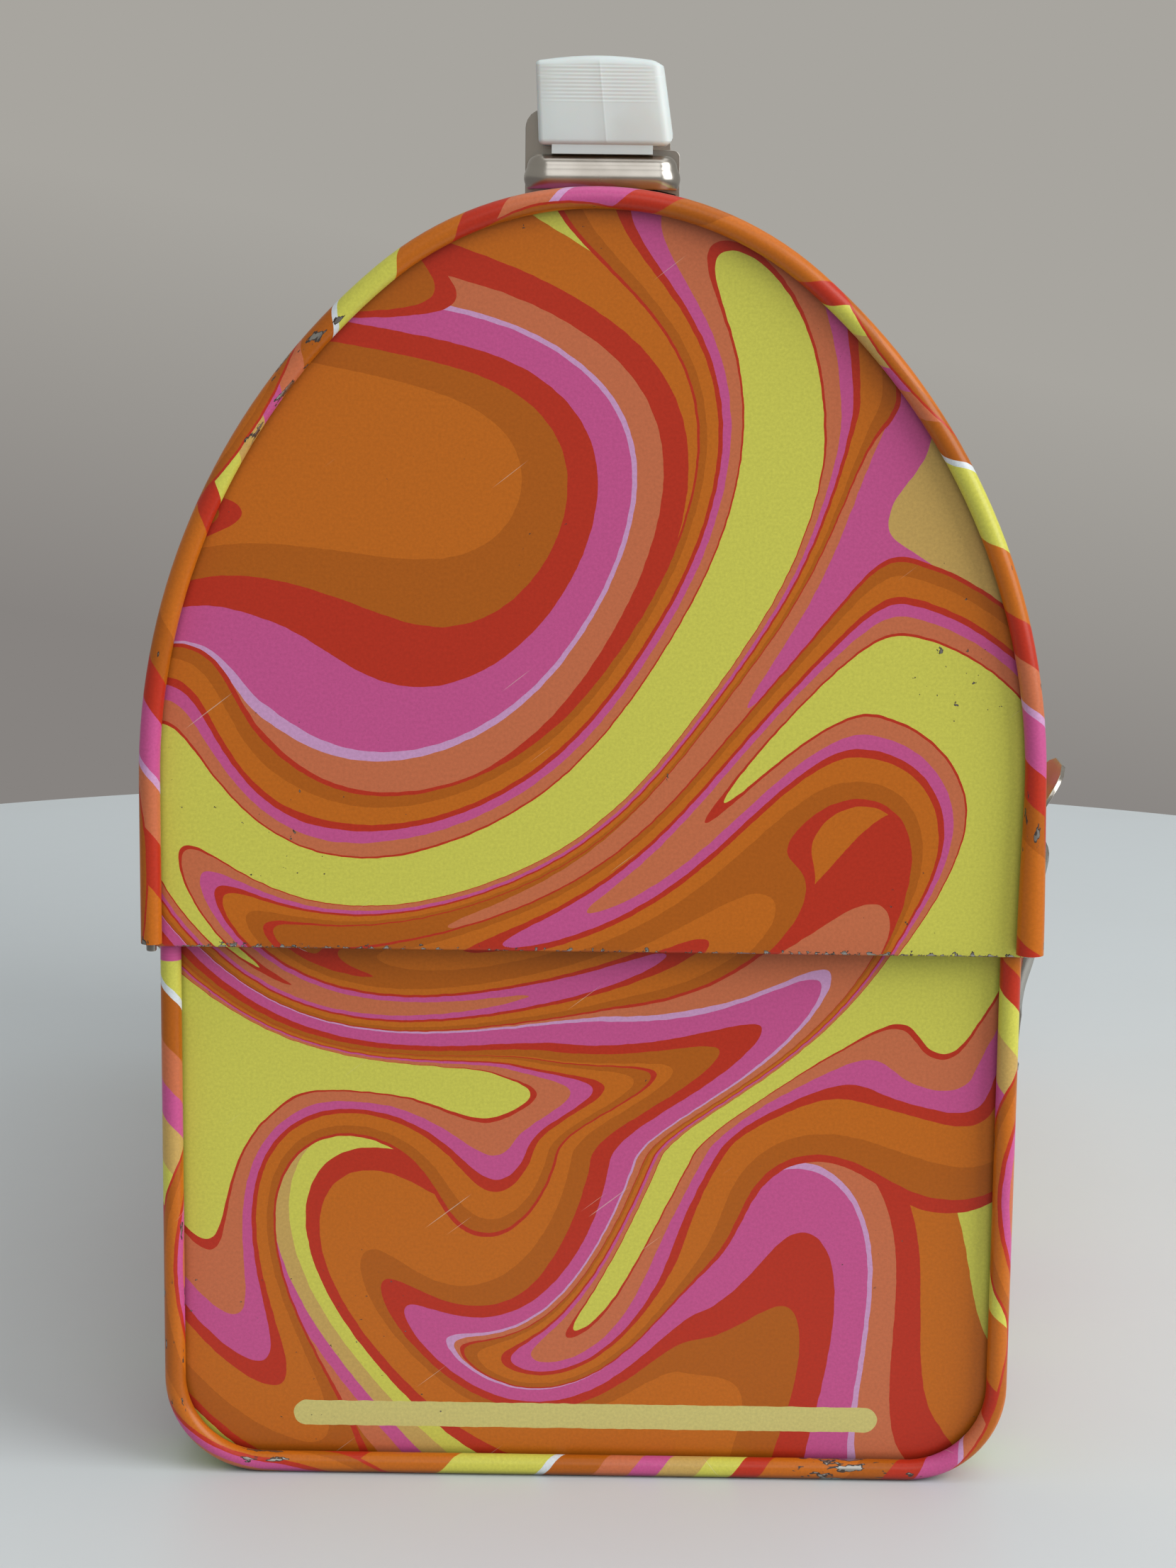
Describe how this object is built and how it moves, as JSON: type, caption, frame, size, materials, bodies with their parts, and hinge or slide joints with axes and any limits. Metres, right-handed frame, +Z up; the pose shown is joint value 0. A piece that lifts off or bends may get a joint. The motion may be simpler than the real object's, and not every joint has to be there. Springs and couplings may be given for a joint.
{
  "type": "lunch box",
  "caption": "Dome-top tin lunch box with a hinged lid over wired rolled seams, snap latches on the front, a plastic carrying handle on the crown and a wire bottle bail inside.",
  "frame": {"origin": "on the table under the middle of the base", "axes": "+Z up, +X along the box, the latches face -Y and the hinge faces +Y"},
  "size_m": [0.228, 0.1225, 0.1856],
  "materials": {
    "printed_tinplate": "semi-gloss printed enamel on tinplate",
    "seam_wire": "drawn steel wire",
    "plated_steel": "nickel plated, lightly worn",
    "rivet_steel": "plated, dull",
    "bail_wire": "drawn and plated wire",
    "moulded_plastic": "satin, slightly translucent"
  },
  "bodies": {
    "body": {"body_shell": "printed_tinplate", "body_end_left": "printed_tinplate", "body_end_right": "printed_tinplate", "body_wire_left": "seam_wire", "body_wire_right": "seam_wire", "hinge_body_leaf": "plated_steel", "hinge_pin": "plated_steel", "hinge_body_rivets": "rivet_steel", "latch_base_left": "plated_steel", "latch_base_right": "plated_steel", "latch_pin_left": "plated_steel", "latch_pin_right": "plated_steel", "latch_base_rivets": "rivet_steel"},
    "lid": {"lid_shell": "printed_tinplate", "lid_end_left": "printed_tinplate", "lid_end_right": "printed_tinplate", "lid_wire_left": "seam_wire", "lid_wire_right": "seam_wire", "hinge_lid_leaf": "plated_steel", "hinge_lid_rivets": "rivet_steel", "latch_catch_left": "plated_steel", "latch_catch_right": "plated_steel", "latch_catch_rivets": "rivet_steel", "handle_bracket_left": "plated_steel", "handle_bracket_right": "plated_steel", "handle_bracket_rivets": "rivet_steel", "bail_eye_front": "plated_steel", "bail_eye_back": "plated_steel", "bail_eye_rivets": "rivet_steel"},
    "hasp_left": {"latch_hasp_left": "plated_steel"},
    "hasp_right": {"latch_hasp_right": "plated_steel"},
    "handle": {"handle_grip": "moulded_plastic"},
    "bail": {"bottle_bail": "bail_wire"}
  },
  "joints": [
    {"name": "lid_hinge", "type": "hinge", "parent": "body", "child": "lid", "pos_m": [0, 0.05525, 0.0705], "axis": [-1, 0, 0], "range_deg": [0, 120]},
    {"name": "latch_left", "type": "hinge", "parent": "body", "child": "hasp_left", "pos_m": [-0.075, -0.05705, 0.05], "axis": [1, 0, 0], "range_deg": [0, 120]},
    {"name": "latch_right", "type": "hinge", "parent": "body", "child": "hasp_right", "pos_m": [0.075, -0.05705, 0.05], "axis": [1, 0, 0], "range_deg": [0, 120]},
    {"name": "handle_lift", "type": "slide", "parent": "lid", "child": "handle", "axis": [0, 0, 1], "range_m": [0, 0.0019]},
    {"name": "bail_swing", "type": "hinge", "parent": "lid", "child": "bail", "pos_m": [-0.03, 0, 0.086], "axis": [0, 1, 0], "range_deg": [0, 90]}
  ]
}
